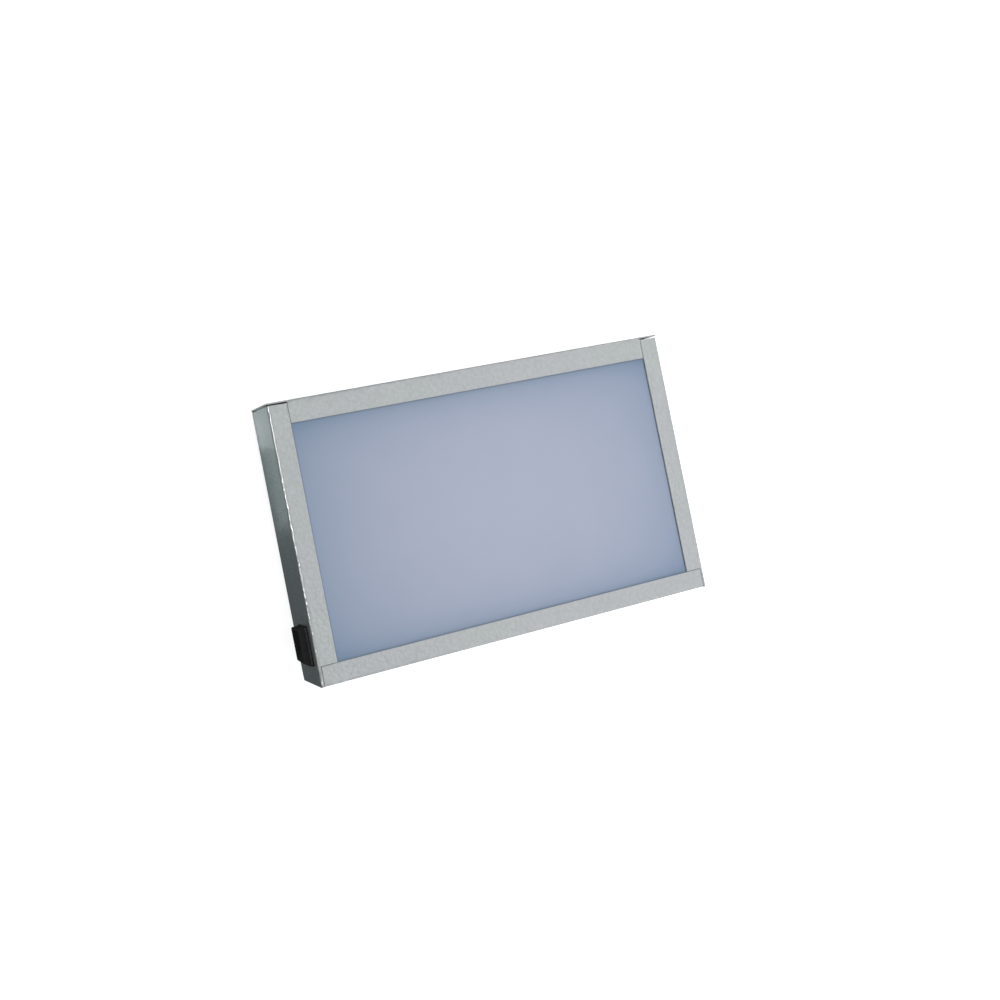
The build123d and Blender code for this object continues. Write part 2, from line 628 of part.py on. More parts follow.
# the rocker leans with its near end out
with BuildPart() as rocker:
    lean = (sin(TILT), cos(TILT), 0)
    rocker_low = SWITCH_Z - ROCKER_HALF_Z
    with BuildSketch(Plane(origin=(PIVOT_X, SWITCH_Y, rocker_low), x_dir=lean, z_dir=(0, 0, 1))):
        tip = sqrt(ROCKER_R**2 - ROCKER_TOP**2)
        skirt_y, skirt_drop = ROCKER_R * cos(SKIRT), -ROCKER_R * sin(SKIRT)
        with BuildLine():
            ThreePointArc((-tip, ROCKER_TOP), (0, ROCKER_DIP), (tip, ROCKER_TOP))
            ThreePointArc((tip, ROCKER_TOP), (ROCKER_R, 0), (skirt_y, skirt_drop))
            Polyline(
                (skirt_y, skirt_drop),
                (KEEL_Y, -KEEL_DROP),
                (-KEEL_Y, -KEEL_DROP),
                (-skirt_y, skirt_drop),
            )
            ThreePointArc((-skirt_y, skirt_drop), (-ROCKER_R, 0), (-tip, ROCKER_TOP))
        make_face()
        fillet(vertices().group_by(Axis.Y)[-1], 0.8)
    extrude(amount=2 * ROCKER_HALF_Z)
    with Locations((PIVOT_X, SWITCH_Y, SWITCH_Z)):
        Cylinder(PIVOT_R, 2 * (ROCKER_HALF_Z + PIVOT_STUB))
keep("rocker", rocker)

SWITCH_UNDER = SWITCH_Z - SWITCH_CUT_Z / 2 + BODY_CLEAR
with BuildPart() as switch_terminals:
    with Locations([(SWITCH_TAB_X, y, SWITCH_UNDER - TAB_L / 2) for y in SWITCH_TAB_YS]):
        Box(TAB_W, TAB_T, TAB_L)
keep("switch_terminals", switch_terminals)

SLEEVE_TOP = SWITCH_UNDER - SLEEVE_BACK
with BuildPart() as switch_receptacles:
    with Locations([(SWITCH_TAB_X, y, SLEEVE_TOP - SLEEVE_L / 2) for y in SWITCH_TAB_YS]):
        Box(SLEEVE_W, SLEEVE_T, SLEEVE_L)
    fillet(switch_receptacles.edges().filter_by(Axis.Z), 1)
    with Locations([(SWITCH_TAB_X, y, SLEEVE_TOP - TAB_L / 2) for y in SWITCH_TAB_YS]):
        Box(TAB_W + 0.1, TAB_T + 0.1, TAB_L, mode=Mode.SUBTRACT)
keep("switch_receptacles", switch_receptacles)

# ======================================================================================
# Mains inlet: outward is +X, from the right wall's outer face
# ======================================================================================
PIN_AT = [(y, INLET_Z + z) for y, z in INLET_PINS]
SOCKET_FLOOR = INLET_OUT - SOCKET_D

with BuildPart() as inlet_housing:
    with BuildSketch(Plane(origin=(HALF_X, 0, INLET_Z), x_dir=(0, 1, 0), z_dir=(1, 0, 0))):
        RectangleRounded(INLET_FLANGE_Y, INLET_FLANGE_Z, 5)
        with Locations((-INLET_SCREW_Y, 0), (INLET_SCREW_Y, 0)):
            Circle(M3_R + HOLE_CLEAR, mode=Mode.SUBTRACT)
    extrude(amount=INLET_FLANGE_T)
    block(
        (HALF_X, -INLET_BODY_Y / 2, INLET_Z - INLET_BODY_Z / 2),
        (INLET_BACK, INLET_BODY_Y / 2, INLET_Z + INLET_BODY_Z / 2),
        mode=Mode.ADD,
    )
    with BuildSketch(Plane(origin=(INLET_OUT, 0, INLET_Z), x_dir=(0, 1, 0), z_dir=(-1, 0, 0))):
        Rectangle(SOCKET_Y, SOCKET_Z)
        chamfer(vertices().group_by(Axis.Y)[0], SOCKET_CORNER)
    extrude(amount=SOCKET_D, mode=Mode.SUBTRACT)
    for y, z in PIN_AT:
        with Locations(((SOCKET_FLOOR + INLET_BACK) / 2, y, z)):
            Box(SOCKET_FLOOR - INLET_BACK, BLADE_Y + 0.1, BLADE_Z + 0.1, mode=Mode.SUBTRACT)
keep("inlet_housing", inlet_housing)

with BuildPart() as inlet_pins:
    for y, z in PIN_AT:
        block(
            (INLET_BACK, y - BLADE_Y / 2, z - BLADE_Z / 2),
            (INLET_OUT - BLADE_TIP, y + BLADE_Y / 2, z + BLADE_Z / 2),
            mode=Mode.ADD,
        )
        block(
            (INLET_BACK, y - TAB_T / 2, z - TAB_W / 2),
            (INLET_BACK - TAB_L, y + TAB_T / 2, z + TAB_W / 2),
            mode=Mode.ADD,
        )
keep("inlet_pins", inlet_pins)

SLEEVE_OUT = INLET_BACK - SLEEVE_BACK
SLEEVE_END = SLEEVE_OUT - SLEEVE_L
with BuildPart() as inlet_receptacles:
    with Locations([((SLEEVE_OUT + SLEEVE_END) / 2, y, z) for y, z in PIN_AT]):
        Box(SLEEVE_L, SLEEVE_T, SLEEVE_W)
    fillet(inlet_receptacles.edges().filter_by(Axis.X), 1)
    with Locations([(SLEEVE_OUT - TAB_L / 2, y, z) for y, z in PIN_AT]):
        Box(TAB_L, TAB_T + 0.1, TAB_W + 0.1, mode=Mode.SUBTRACT)
keep("inlet_receptacles", inlet_receptacles)


def sideways(x):
    """Where the inlet's two screws go, with what is placed there lying along -X."""
    return [Location((x, y, INLET_Z), (0, -90, 0)) for y in (-INLET_SCREW_Y, INLET_SCREW_Y)]


keep("inlet_screws", copies(pan_screw(PAN_M3, 9.0), sideways(INLET_OUT)))
keep("inlet_nuts", copies(hex_nut(5.5, M3_R + HOLE_CLEAR, 2.4), sideways(INNER_X)))


# ======================================================================================
# Earth stud, its ring tags and its nut
# ======================================================================================
def ring_tag(low_z, direction):
    """A crimped ring tag on the earth stud, with its barrel pointing that way."""
    x_dir = Vector(*direction)
    with BuildPart() as tag:
        with BuildSketch(Plane(origin=(EARTH_X, EARTH_Y, low_z), x_dir=x_dir, z_dir=(0, 0, 1))):
            Circle(TAG_R)
            with Locations((TAG_REACH / 2 + 0.5, 0)):
                Rectangle(TAG_REACH + 1, 3)
            Circle(M4_R + HOLE_CLEAR, mode=Mode.SUBTRACT)
        extrude(amount=TAG_T)
        barrel_at = Vector(EARTH_X, EARTH_Y, low_z + TAG_BARREL_R) + x_dir * TAG_REACH
        with BuildSketch(Plane(origin=barrel_at, z_dir=x_dir)):
            Circle(TAG_BARREL_R)
        extrude(amount=TAG_BARREL_L)
        with BuildSketch(Plane(origin=barrel_at + x_dir * TAG_BARREL_L, z_dir=-x_dir)):
            Circle(WIRE_R + 0.05)
        extrude(amount=TAG_BARREL_L - 1, mode=Mode.SUBTRACT)
    return tag.part


with BuildPart() as earth_stud:
    with BuildSketch(Plane.XY.offset(COVER_TOP)):
        with Locations((EARTH_X, EARTH_Y)):
            Circle(M4_R)
    extrude(amount=EARTH_H)
keep("earth_stud", earth_stud)
keep("earth_tags", together(ring_tag(COVER_TOP, (0, -1, 0)), ring_tag(UPPER_TAG, (-1, 0, 0))))
earth_nut = hex_nut(7.0, M4_R + HOLE_CLEAR, 3.2)
keep("earth_nut", copies(earth_nut, above([(EARTH_X, EARTH_Y)], UPPER_TAG + TAG_T)))


# ======================================================================================
# Wiring
# ======================================================================================
def wire(points, radii):
    """A wire along straight runs joined by arcs, with a radius for each corner."""
    with BuildPart() as lead:
        with BuildLine() as path:
            FilletPolyline(*points, radius=radii)
        with BuildSketch(Plane(origin=path.line @ 0, z_dir=path.line % 0)):
            Circle(WIRE_R)
        sweep()
    return lead.part


def way(number, ways):
    """How far across the ballast a numbered way of a terminal row is."""
    return (number - (ways - 1) / 2) * WAY_PITCH


WAY_IN = BOARD_X - 4  # the wires go this far into the ballast's terminals
SLEEVE_LOW = SLEEVE_TOP - SLEEVE_L
live_y, neutral_y = PIN_AT[0][0], PIN_AT[1][0]
pin_z, earth_pin_z = PIN_AT[0][1], PIN_AT[2][1]
TURN_Z = 12.5  # where the switch's wires turn up to it

live_feed = wire(
    [
        (SLEEVE_END, live_y, pin_z),
        (122, live_y, pin_z),
        (112, LIVE_LANE, LANE_Z),
        (-118, LIVE_LANE, LANE_Z),
        (SWITCH_TAB_X, SWITCH_TAB_YS[0], TURN_Z),
        (SWITCH_TAB_X, SWITCH_TAB_YS[0], SLEEVE_LOW),
    ],
    [8, 8, 20, 5],
)
neutral_feed = wire(
    [
        (SLEEVE_END, neutral_y, pin_z),
        (114, neutral_y, pin_z),
        (104, NEUTRAL_LANE, LANE_Z),
        (-118, NEUTRAL_LANE, LANE_Z),
        (SWITCH_TAB_X, SWITCH_TAB_YS[1], TURN_Z),
        (SWITCH_TAB_X, SWITCH_TAB_YS[1], SLEEVE_LOW),
    ],
    [8, 8, 20, 5],
)
live_switched = wire(
    [
        (SWITCH_TAB_X, SWITCH_TAB_YS[2], SLEEVE_LOW),
        (SWITCH_TAB_X, SWITCH_TAB_YS[2], TURN_Z),
        (-112, way(0, MAINS_WAYS), WAY_Z),
        (-WAY_IN, way(0, MAINS_WAYS), WAY_Z),
    ],
    [5, 15],
)
neutral_switched = wire(
    [
        (SWITCH_TAB_X, SWITCH_TAB_YS[3], SLEEVE_LOW),
        (SWITCH_TAB_X, SWITCH_TAB_YS[3], TURN_Z),
        (-116, way(1, MAINS_WAYS), WAY_Z),
        (-WAY_IN, way(1, MAINS_WAYS), WAY_Z),
    ],
    [5, 15],
)
keep("live_wires", together(live_feed, live_switched))
keep("neutral_wires", together(neutral_feed, neutral_switched))

tag_tip = TAG_REACH + TAG_BARREL_L - 2
earth_feed = wire(
    [
        (SLEEVE_END, 0, earth_pin_z),
        (EARTH_X, 0, earth_pin_z),
        (EARTH_X, 13, earth_pin_z - 2),
        (EARTH_X, 17, COVER_TOP + TAG_BARREL_R),
        (EARTH_X, EARTH_Y - tag_tip, COVER_TOP + TAG_BARREL_R),
    ],
    [5, 4, 4],
)
ballast_earth = wire(
    [
        (EARTH_X - tag_tip, EARTH_Y, UPPER_TAG + TAG_BARREL_R),
        (104, EARTH_Y, UPPER_TAG + TAG_BARREL_R),
        (94, EARTH_LANE, LANE_Z),
        (-100, EARTH_LANE, LANE_Z),
        (-100, way(2, MAINS_WAYS), WAY_Z),
        (-WAY_IN, way(2, MAINS_WAYS), WAY_Z),
    ],
    [6, 8, 6, 6],
)
keep("earth_wires", together(earth_feed, ballast_earth))


def lamp_lead(number, side, end_y):
    """A lead from a way of the ballast to the foot of the left or right lampholder."""
    y = way(number, LAMP_WAYS)
    foot_x = side * HOLDER_MID
    foot_z = FLOOR_TOP - HOLDER_FOOT_DROP
    if side > 0:
        return wire(
            [(WAY_IN, y, WAY_Z), (86, y, WAY_Z), (98, y, 24), (foot_x, end_y, 24), (foot_x, end_y, foot_z)],
            [8, 12, 4],
        )
    return wire(
        [
            (WAY_IN, y, WAY_Z),
            (90, y, WAY_Z),
            (90, y, LEAD_Z),
            (-108, y, LEAD_Z),
            (foot_x, end_y, 20),
            (foot_x, end_y, foot_z),
        ],
        [6, 6, 20, 5],
    )


OUTER_END, INNER_END = -TUBE_Y - 2.5, -TUBE_Y + 2.5
near_leads = [
    lamp_lead(0, 1, OUTER_END),
    lamp_lead(1, 1, INNER_END),
    lamp_lead(2, -1, OUTER_END),
    lamp_lead(3, -1, INNER_END),
]
far_leads = [lead.mirror(Plane.XZ) for lead in near_leads]
keep("lamp_leads_near", together(*near_leads))
keep("lamp_leads_far", together(*far_leads))

with BuildPart() as cable_clips:
    for low_y, high_y in ((LIVE_LANE, NEUTRAL_LANE), (EARTH_LANE, EARTH_LANE)):
        inner_low, inner_high = low_y - WIRE_R - 0.1, high_y + WIRE_R + 0.1
        tunnel_top = LANE_Z + WIRE_R + 0.1
        for x in CLIP_XS:
            block(
                (x - 4, inner_low - 1.4, COVER_TOP),
                (x + 4, inner_high + 1.4, tunnel_top + 1.2),
                mode=Mode.ADD,
            )
            block((x - 5, inner_low, COVER_TOP - 1), (x + 5, inner_high, tunnel_top))
    fillet(cable_clips.edges().filter_by(Axis.X).group_by(Axis.Z)[-1], 0.6)
keep("cable_clips", cable_clips)
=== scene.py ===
import json
import math

import bmesh
import bpy
from mathutils import Matrix, Vector


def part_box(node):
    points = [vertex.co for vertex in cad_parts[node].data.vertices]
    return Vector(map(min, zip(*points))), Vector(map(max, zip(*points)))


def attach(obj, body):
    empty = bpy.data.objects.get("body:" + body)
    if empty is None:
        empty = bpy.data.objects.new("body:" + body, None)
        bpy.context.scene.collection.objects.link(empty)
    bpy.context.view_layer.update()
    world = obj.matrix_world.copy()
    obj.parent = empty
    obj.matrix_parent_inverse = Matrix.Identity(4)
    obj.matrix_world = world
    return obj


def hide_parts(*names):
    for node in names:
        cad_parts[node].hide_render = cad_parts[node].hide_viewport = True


# A desktop light table seen from above its left side, on a pale floor in soft studio light.
# Metres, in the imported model's own frame: +X along the long side, +Y to the far edge, +Z up.

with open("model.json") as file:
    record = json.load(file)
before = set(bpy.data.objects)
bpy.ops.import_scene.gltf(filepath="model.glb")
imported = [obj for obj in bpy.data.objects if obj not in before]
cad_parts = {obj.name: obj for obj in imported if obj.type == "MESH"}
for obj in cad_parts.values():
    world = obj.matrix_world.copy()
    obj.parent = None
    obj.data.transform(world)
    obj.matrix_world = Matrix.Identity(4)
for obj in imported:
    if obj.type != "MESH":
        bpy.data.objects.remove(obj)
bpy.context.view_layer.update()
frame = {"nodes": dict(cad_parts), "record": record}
NODES = frame["nodes"]
SUBPARTS = frame["record"]["subparts"]
BODIES = frame["record"]["behaviour"]["bodies"]

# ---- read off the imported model
LEFT_WALL_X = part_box("left_side_profile")[0].x
FAR_WALL_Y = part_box("far_profile")[1].y
FRAME_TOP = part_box("left_side_profile")[1].z
WINDOW_LOW = Vector((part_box("left_side_profile")[1].x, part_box("near_profile")[1].y))
WINDOW_HIGH = Vector((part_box("right_side_profile")[0].x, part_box("far_profile")[0].y))
WINDOW_MID = (WINDOW_LOW + WINDOW_HIGH) / 2
WINDOW_HALF = (WINDOW_HIGH - WINDOW_LOW) / 2

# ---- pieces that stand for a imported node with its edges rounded; widths of the rounding
SHEET_EDGE = 0.00022
PAINTED_SHEETS = ("left_side_profile", "right_side_profile", "near_profile", "far_profile", "rear_cover")
SHAPED_PARTS = {
    "diffuser": 0.0002,
    "switch_housing": 0.0003,
    "rocker": 0.0004,
    "inlet_housing": 0.0003,
}
FOOT_EDGE = 0.0004
EDGE_SEGMENTS = 2
SHARP_EDGE = math.radians(38.0)  # edges that turn more than this are rounded
FLAT_WITHIN = math.radians(0.4)  # faces this close to one plane are joined
WELD_WITHIN = 1e-6
FULL_AREA_WEIGHT = 100  # normals follow the large faces, so that sheets look flat

# ---- camera, solved from the front face's perspective
CAMERA_AT = Vector((-0.3901, 0.0537, 1.0775))
CAMERA_BACK = Vector((-0.3755, -0.0253, 0.9265))
CAMERA_UP = Vector((0.1725, 0.9803, 0.0967))
CAMERA_SHIFT_Y = -0.1
CAMERA_CLIP = (0.02, 60.0)
LENS_MM = 46.95
SENSOR_MM = 36.0

# ---- studio
BACKDROP_R = 9.0
FLOOR_DOWN = 0.0002  # the floor lies this far under the feet
FLOOR_GREY = (0.45, 0.45, 0.45)
FLOOR_GLOW = 0.90
BOX_MIDDLE = Vector((0.0, 0.0, 0.03))
TABLE_LIGHT_UP = 0.002
TABLE_TINT = (0.82, 1.0, 0.98)
WORLD_TINT = (0.84, 0.96, 0.98)
WORLD_GLOW = 0.12


# ======================================================================================
# Node helpers
# ======================================================================================
class Shader:
    """One node material and short ways to add nodes to it. Scales are features per metre."""

    def __init__(self, name, colour, roughness, metallic=0.0, **sockets):
        self.material = bpy.data.materials.new(name)
        self.material.use_nodes = True
        self.tree = self.material.node_tree
        self.bsdf = self.tree.nodes["Principled BSDF"]
        self.coords = self.add("ShaderNodeTexCoord").outputs["Object"]
        self.set(self.bsdf, "Base Color", (*colour, 1.0))
        self.set(self.bsdf, "Roughness", roughness)
        self.set(self.bsdf, "Metallic", metallic)
        for socket, value in sockets.items():
            self.set(self.bsdf, socket.replace("_", " "), value)

    def add(self, kind, **settings):
        node = self.tree.nodes.new(kind)
        for key, value in settings.items():
            setattr(node, key, value)
        return node

    def set(self, node, socket, value):
        """Sets a socket to a value, or links it to another node's output."""
        if isinstance(value, bpy.types.NodeSocket):
            self.tree.links.new(value, node.inputs[socket])
        else:
            node.inputs[socket].default_value = value

    def noise(self, scale, detail=3.0, roughness=0.5, distortion=0.0, coords=None, output="Fac"):
        node = self.add("ShaderNodeTexNoise")
        self.set(node, "Vector", coords or self.coords)
        self.set(node, "Scale", scale)
        self.set(node, "Detail", detail)
        self.set(node, "Roughness", roughness)
        self.set(node, "Distortion", distortion)
        return node.outputs[output]

    def cells(self, scale, feature="F1", smoothness=0.0, coords=None, output="Distance"):
        node = self.add("ShaderNodeTexVoronoi", feature=feature)
        self.set(node, "Vector", coords or self.coords)
        self.set(node, "Scale", scale)
        if feature == "SMOOTH_F1":
            self.set(node, "Smoothness", smoothness)
        return node.outputs[output]

    def math(self, operation, *values):
        node = self.add("ShaderNodeMath", operation=operation)
        for index, value in enumerate(values):
            self.set(node, index, value)
        return node.outputs["Value"]

    def vector_math(self, operation, *values):
        node = self.add("ShaderNodeVectorMath", operation=operation)
        for index, value in enumerate(values):
            self.set(node, index, value)
        return node.outputs["Vector"]

    def scaled(self, value, low, high, to_low=0.0, to_high=1.0):
        """Maps a range of a value to another range, and clamps it there."""
        node = self.add("ShaderNodeMapRange")
        self.set(node, "Value", value)
        self.set(node, "From Min", low)
        self.set(node, "From Max", high)
        self.set(node, "To Min", to_low)
        self.set(node, "To Max", to_high)
        return node.outputs["Result"]

    def mix(self, factor, *colours):
        """Blends from the first colour to the second."""
        node = self.add("ShaderNodeMix", data_type="RGBA")
        self.set(node, "Factor", factor)
        inputs = [i for i, socket in enumerate(node.inputs) if socket.type == "RGBA"]
        for index, value in zip(inputs, colours):
            is_link = isinstance(value, bpy.types.NodeSocket)
            self.set(node, index, value if is_link else (*value, 1.0))
        return next(socket for socket in node.outputs if socket.type == "RGBA")

    def split(self, vector):
        """The X, Y and Z of a vector."""
        node = self.add("ShaderNodeSeparateXYZ")
        self.set(node, "Vector", vector)
        return node.outputs

    def facing(self):
        """The surface's own normal, before any relief."""
        return self.add("ShaderNodeNewGeometry").outputs["Normal"]

    def stretched(self, scale):
        """Object coordinates scaled by a different amount along each axis."""
        node = self.add("ShaderNodeMapping")
        self.set(node, "Vector", self.coords)
        self.set(node, "Scale", scale)
        return node.outputs["Vector"]

    def colour(self, value):
        self.set(self.bsdf, "Base Color", value)

    def roughness(self, value):
        self.set(self.bsdf, "Roughness", value)

    def bump(self, height, depth, strength=1.0, over=None):
        """Relief of that depth in metres, on top of another normal if one is given."""
        node = self.add("ShaderNodeBump")
        self.set(node, "Height", height)
        self.set(node, "Distance", depth)
        self.set(node, "Strength", strength)
        if over is not None:
            self.set(node, "Normal", over)
        return node.outputs["Normal"]

    def normal(self, value):
        self.set(self.bsdf, "Normal", value)
        self.set(self.bsdf, "Coat Normal", value)


def tinted(colour, tint):
    return tuple(c * t for c, t in zip(colour, tint))


# ======================================================================================
# Materials
# ======================================================================================
def hammer_paint(name, light, dark, roughness):
    """Hammer-tone enamel: smooth dimples, leaning facets, bright flake and a faint tint drift."""
    cool_tint = (1.02, 0.985, 1.035)
    flake = (0.78, 0.79, 0.79)
    wander, lean = 0.0018, 0.12
    s = Shader(name, light, roughness, Coat_Weight=0.35, Coat_Roughness=0.16)

    # the cells are pushed about, so that no dimple is a plain polygon
    push = s.vector_math("MULTIPLY", s.noise(260.0, 2.0, output="Color"), (wander, wander, wander))
    warped = s.vector_math("ADD", s.coords, push)
    dimples = s.cells(330.0, "SMOOTH_F1", 0.4, warped)
    facets = s.cells(400.0, coords=warped, output="Color")

    web = s.scaled(dimples, 0.25, 0.75)
    glint = s.scaled(s.cells(2300.0, output="Color"), 0.72, 0.95)
    mottle = s.scaled(s.noise(38.0, 4.0, 0.6), 0.3, 0.7)
    drift = s.scaled(s.noise(11.0, 2.0), 0.42, 0.58)
    drifting = s.mix(drift, light, tinted(light, cool_tint))
    body = s.mix(s.math("MULTIPLY", web, 0.45), drifting, dark)
    aged = s.mix(s.math("MULTIPLY", mottle, 0.12), body, dark)
    s.colour(s.mix(s.math("MULTIPLY", glint, 0.2), aged, flake))
    worn = s.math("SUBTRACT", mottle, glint)
    s.roughness(s.scaled(worn, -1.0, 1.0, roughness - 0.12, roughness + 0.08))

    # each facet leans its own way, by up to half of the lean to either side
    tilt = s.vector_math("MULTIPLY_ADD", facets, (lean, lean, lean), (-lean / 2, -lean / 2, -lean / 2))
    leaning = s.vector_math("NORMALIZE", s.vector_math("ADD", s.facing(), tilt))
    relief = s.bump(dimples, 0.0005, 0.8, leaning)
    s.normal(s.bump(s.noise(2600.0, 2.0), 0.00001, 0.35, relief))
    return s.material


def opal_acrylic():
    """Unlit opal sheet with painted shade: darker towards the window's edges, where less light comes
    back from the box, and a thin painted shadow of the frame along them.
    """
    # dust here is the colour of the frame's painted shadow along the window's edges
    centre, edge, dust = (0.445, 0.478, 0.625), (0.15, 0.245, 0.375), (0.07, 0.085, 0.11)
    frame_shadow_width = 0.0016
    s = Shader("opal_acrylic", centre, 0.42, Coat_Weight=0.12, Coat_Roughness=0.3)
    s.set(s.bsdf, "Subsurface Weight", 0.12)
    s.set(s.bsdf, "Subsurface Radius", (1.0, 1.0, 1.0))
    s.set(s.bsdf, "Subsurface Scale", 0.0015)

    # painted shade: the sheet is drawn darker towards the window's edges and slightly darker towards its
    # left end
    falls, gaps = [], []
    for axis, gentle, steep, lean in ((0, 0.20, 0.13, 0.03), (1, 0.15, 0.26, 0.0)):
        offset = s.math("SUBTRACT", s.split(s.coords)[axis], WINDOW_MID[axis])
        along = s.math("DIVIDE", offset, WINDOW_HALF[axis])
        square = s.math("POWER", s.math("ABSOLUTE", along), 2.0)
        eighth = s.math("POWER", s.math("ABSOLUTE", along), 8.0)
        leaning = s.math("MULTIPLY_ADD", along, lean, 1.0)
        fall = s.math("MULTIPLY_ADD", square, -gentle, leaning)
        falls.append(s.math("MULTIPLY_ADD", eighth, -steep, fall))
        gaps.append(s.math("SUBTRACT", WINDOW_HALF[axis], s.math("ABSOLUTE", offset)))
    glow = s.scaled(s.math("MULTIPLY", *falls), 0.40, 1.0)
    cloud = s.scaled(s.noise(24.0, 4.0, 0.55), 0.3, 0.7, 0.97, 1.03)
    sheet = s.mix(s.math("MULTIPLY", glow, cloud), edge, centre)
    # painted shadow of the frame: a thin dark line along the window's edges
    frame_shadow_mask = s.scaled(s.math("MINIMUM", *gaps), 0.0, frame_shadow_width, 0.55, 0.0)
    s.colour(s.mix(frame_shadow_mask, sheet, dust))
    s.roughness(s.scaled(s.noise(900.0, 3.0), 0.3, 0.7, 0.38, 0.48))
    s.normal(s.bump(s.noise(1800.0, 2.0), 0.00002, 0.2))
    return s.material


def moulded(name, colour, roughness, texture=2700.0, depth=0.00002, lift=1.25, **sockets):
    """Moulded plastic or rubber with a fine eroded texture and faint cloudy wear."""
    s = Shader(name, colour, roughness, **sockets)
    worn = tuple(min(1.0, c * lift + 0.004) for c in colour)
    cloud = s.scaled(s.noise(90.0, 5.0, 0.65), 0.35, 0.75)
    s.colour(s.mix(cloud, colour, worn))
    s.roughness(s.scaled(s.noise(220.0, 4.0), 0.3, 0.7, roughness - 0.07, roughness + 0.09))
    s.normal(s.bump(s.noise(texture, 3.0, 0.6), depth, 0.6))
    return s.material


def plated(name, colour, roughness, drawn=(1.0, 1.0, 1.0), tint=(1.0, 1.0, 1.0)):
    """Bright metal: a drawn or tumbled grain, cloudy plating and fine scratches."""
    s = Shader(name, colour, roughness, metallic=1.0)
    grain = s.noise(1400.0, 3.0, 0.6, coords=s.stretched(drawn))
    cloud = s.scaled(s.noise(160.0, 4.0, 0.6, distortion=0.4), 0.3, 0.75)
    dulled = tuple(c * 0.74 for c in tinted(colour, tint))
    s.colour(s.mix(cloud, colour, dulled))
    scratched = s.math("ADD", grain, cloud)
    s.roughness(s.scaled(scratched, 0.6, 1.5, roughness - 0.06, roughness + 0.16))
    s.normal(s.bump(grain, 0.00001, 0.35))
    return s.material


def enamel(name, colour, roughness):
    """Smooth sprayed enamel with a slight orange peel."""
    dust_tint = (0.92, 0.90, 0.86)
    s = Shader(name, colour, roughness, Coat_Weight=0.3, Coat_Roughness=0.15)
    dust = s.scaled(s.noise(30.0, 5.0, 0.6), 0.4, 0.8)
    s.colour(s.mix(dust, colour, tinted(colour, dust_tint)))
    s.roughness(s.scaled(s.noise(140.0, 3.0), 0.3, 0.7, roughness - 0.05, roughness + 0.08))
    s.normal(s.bump(s.noise(700.0, 2.0), 0.00003, 0.3))
    return s.material


def foam():
    """Closed-cell foam: small open pores in a matt skin, drawn darker in their hollows as painted shade.
    """
    skin, shaded_pore, rim = (0.05, 0.05, 0.052), (0.018, 0.018, 0.02), (0.07, 0.07, 0.072)
    s = Shader("gasket_foam", skin, 0.9)
    pores = s.cells(1500.0)
    # painted shade: the pores are darker in their hollows
    s.colour(s.mix(s.scaled(pores, 0.1, 0.6), shaded_pore, rim))
    s.roughness(s.scaled(pores, 0.0, 0.7, 0.95, 0.82))
    s.normal(s.bump(pores, 0.0002, 0.8))
    return s.material


def phosphor_glass():
    """Glass tube with a white phosphor coat that browns towards its ends."""
    white, brown, speckle = (0.88, 0.89, 0.87), (0.42, 0.38, 0.33), (0.70, 0.71, 0.70)
    browns_from, browns_to = 0.112, 0.136
    s = Shader("lamp_glass", white, 0.08, Coat_Weight=0.6, Coat_Roughness=0.03)
    end = s.scaled(s.math("ABSOLUTE", s.split(s.coords)["X"]), browns_from, browns_to)
    speck = s.scaled(s.noise(400.0, 4.0), 0.45, 0.75)
    coat = s.mix(s.math("MULTIPLY", end, 0.55), white, brown)
    s.colour(s.mix(s.math("MULTIPLY", speck, 0.08), coat, speckle))
    s.roughness(s.scaled(s.noise(60.0), 0.3, 0.7, 0.05, 0.14))
    s.normal(s.bump(s.noise(35.0, 2.0), 0.00005, 0.2))
    return s.material


def circuit_board():
    """Green solder mask over copper tracks."""
    weave_colours, over_copper = ((0.015, 0.12, 0.04), (0.03, 0.17, 0.06)), (0.06, 0.26, 0.09)
    s = Shader("circuit_board", (0.02, 0.14, 0.05), 0.3, Coat_Weight=0.4, Coat_Roughness=0.2)
    copper = s.scaled(s.cells(260.0, "DISTANCE_TO_EDGE"), 0.06, 0.1, 1.0, 0.0)
    weave = s.noise(1200.0, 2.0, coords=s.stretched((1.0, 4.0, 1.0)))
    mask = s.mix(s.scaled(weave, 0.3, 0.7), *weave_colours)
    s.colour(s.mix(copper, mask, over_copper))
    s.roughness(s.scaled(weave, 0.3, 0.7, 0.26, 0.4))
    s.normal(s.bump(copper, 0.00004, 0.6))
    return s.material


def insulation(name, colour, stripe=None):
    """PVC wire insulation, with a second colour along its upper side if it has one."""
    s = Shader(name, colour, 0.42)
    cloud = s.scaled(s.noise(240.0, 4.0), 0.3, 0.75)
    faded = tuple(c * 0.82 + 0.01 for c in colour)
    body = s.mix(cloud, colour, faded)
    if stripe is not None:
        upward = s.split(s.facing())["Z"]
        body = s.mix(s.scaled(upward, 0.05, 0.15), body, stripe)
    s.colour(body)
    s.roughness(s.scaled(cloud, 0.0, 1.0, 0.36, 0.5))
    s.normal(s.bump(s.noise(1600.0, 2.0), 0.00001, 0.4))
    return s.material


